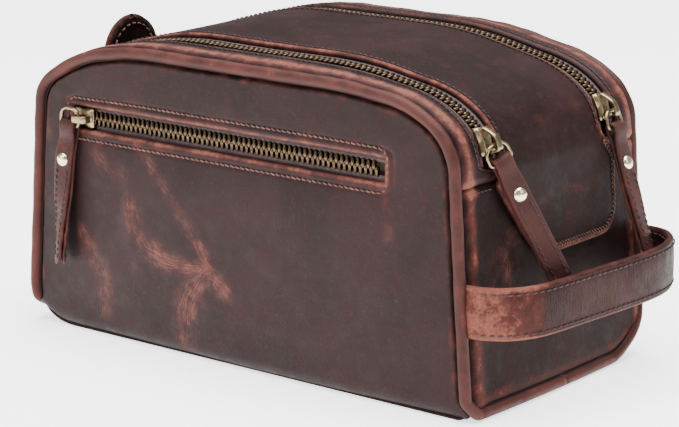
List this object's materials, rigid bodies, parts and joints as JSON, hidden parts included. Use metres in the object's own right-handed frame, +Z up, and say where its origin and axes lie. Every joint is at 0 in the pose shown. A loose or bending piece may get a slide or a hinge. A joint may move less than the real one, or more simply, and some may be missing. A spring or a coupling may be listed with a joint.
{
  "type": "shaving kit bag",
  "caption": "Box-shaped leather shaving kit bag: lid between top zips, zipped front pocket, side handle, end tab, leather zip pulls.",
  "frame": {"origin": "centre of the flat underside that the bag stands on", "axes": "+X along the length towards the handle end, +Y from the pocket side to the back, +Z up"},
  "size_m": [0.2853, 0.1437, 0.14],
  "materials": {
    "bag_leather": "waxed pull-up leather, dark brown, soft sheen, lighter scuffs",
    "piping_leather": "waxed leather worn reddish along the crown",
    "handle_leather": "waxed leather, tan where handled",
    "pull_leather": "waxed leather, double stitched",
    "lining_cloth": "plain woven cotton lining",
    "cord_fibre": "soft twisted cord",
    "board": "semi-rigid stiffener sheet",
    "zip_tape": "herringbone woven tape",
    "zip_metal": "antique brass, dark in the recesses",
    "rivet_metal": "polished pale brass cap"
  },
  "bodies": {
    "bag_body": {"base_gusset": "bag_leather", "front_panel": "bag_leather", "back_panel": "bag_leather", "front_piping": "piping_leather", "back_piping": "piping_leather", "front_piping_cord": "cord_fibre", "back_piping_cord": "cord_fibre", "front_lining": "lining_cloth", "back_lining": "lining_cloth", "gusset_lining": "lining_cloth", "base_board": "board", "front_top_strip": "bag_leather", "back_top_strip": "bag_leather", "lid_root": "bag_leather", "pocket_pouch": "lining_cloth", "pocket_upper_tape": "zip_tape", "pocket_lower_tape": "zip_tape", "pocket_upper_teeth": "zip_metal", "pocket_lower_teeth": "zip_metal", "pocket_end_stops": "zip_metal", "front_zip_outer_tape": "zip_tape", "front_zip_outer_teeth": "zip_metal", "back_zip_outer_tape": "zip_tape", "back_zip_outer_teeth": "zip_metal", "zip_root_tapes": "zip_tape", "zip_root_teeth": "zip_metal", "handle_ends": "handle_leather"},
    "lid": {"lid_panel": "bag_leather", "lid_lining": "lining_cloth", "front_zip_inner_tape": "zip_tape", "front_zip_inner_teeth": "zip_metal", "back_zip_inner_tape": "zip_tape", "back_zip_inner_teeth": "zip_metal"},
    "handle": {"handle": "handle_leather"},
    "left_tab": {"left_tab": "bag_leather"},
    "front_slider": {"front_slider_body": "zip_metal", "front_slider_bridge": "zip_metal"},
    "front_ring": {"front_ring": "zip_metal"},
    "front_pull": {"front_pull": "pull_leather", "front_pull_rivet": "rivet_metal"},
    "back_slider": {"back_slider_body": "zip_metal", "back_slider_bridge": "zip_metal"},
    "back_ring": {"back_ring": "zip_metal"},
    "back_pull": {"back_pull": "pull_leather", "back_pull_rivet": "rivet_metal"},
    "pocket_slider": {"pocket_slider_body": "zip_metal", "pocket_slider_bridge": "zip_metal"},
    "pocket_ring": {"pocket_ring": "zip_metal"},
    "pocket_pull": {"pocket_pull": "pull_leather", "pocket_pull_rivet": "rivet_metal"}
  },
  "joints": [
    {"name": "lid_hinge", "type": "hinge", "parent": "bag_body", "child": "lid", "pos_m": [-0.08425, 0, 0.14], "axis": [0, -1, 0], "range_deg": [0, 110]},
    {"name": "handle_swing", "type": "hinge", "parent": "bag_body", "child": "handle", "pos_m": [0.14, 0, 0.04845], "axis": [0, -1, 0], "range_deg": [-30, 30], "stiffness_Nm_per_rad": 0.03},
    {"name": "tab_flex", "type": "hinge", "parent": "bag_body", "child": "left_tab", "pos_m": [-0.12113, 0, 0.0975], "axis": [0, -1, 0], "range_deg": [0, 60], "stiffness_Nm_per_rad": 0.02},
    {"name": "front_slider_travel", "type": "hinge", "parent": "lid", "child": "front_slider", "pos_m": [0.08236, -0.045, 0.102], "axis": [0, -1, 0], "range_deg": [0, 57]},
    {"name": "front_ring_swing", "type": "hinge", "parent": "front_slider", "child": "front_ring", "pos_m": [0.12141, -0.045, 0.11454], "axis": [0.1057, -0.9397, -0.3253], "range_deg": [0, 110]},
    {"name": "front_pull_swing", "type": "hinge", "parent": "front_ring", "child": "front_pull", "pos_m": [0.12367, -0.04233, 0.10757], "axis": [0.1057, -0.9397, -0.3253], "range_deg": [0, 60]},
    {"name": "back_slider_travel", "type": "hinge", "parent": "lid", "child": "back_slider", "pos_m": [0.08236, 0.045, 0.102], "axis": [0, -1, 0], "range_deg": [0, 57]},
    {"name": "back_ring_swing", "type": "hinge", "parent": "back_slider", "child": "back_ring", "pos_m": [0.12141, 0.045, 0.11454], "axis": [0, -1, 0], "range_deg": [0, 110]},
    {"name": "back_pull_swing", "type": "hinge", "parent": "back_ring", "child": "back_pull", "pos_m": [0.12382, 0.045, 0.10712], "axis": [0, -1, 0], "range_deg": [-10, 5]},
    {"name": "pocket_slider_travel", "type": "slide", "parent": "bag_body", "child": "pocket_slider", "axis": [1, 0, 0], "range_m": [0, 0.1662]},
    {"name": "pocket_ring_swing", "type": "hinge", "parent": "pocket_slider", "child": "pocket_ring", "pos_m": [-0.0906, -0.0709, 0.1023], "axis": [0.1045, 0, 0.9945], "range_deg": [0, 90]},
    {"name": "pocket_pull_swing", "type": "hinge", "parent": "pocket_ring", "child": "pocket_pull", "pos_m": [-0.09714, -0.0709, 0.09846], "axis": [-0.9945, 0, 0.1045], "range_deg": [0, 80]}
  ]
}
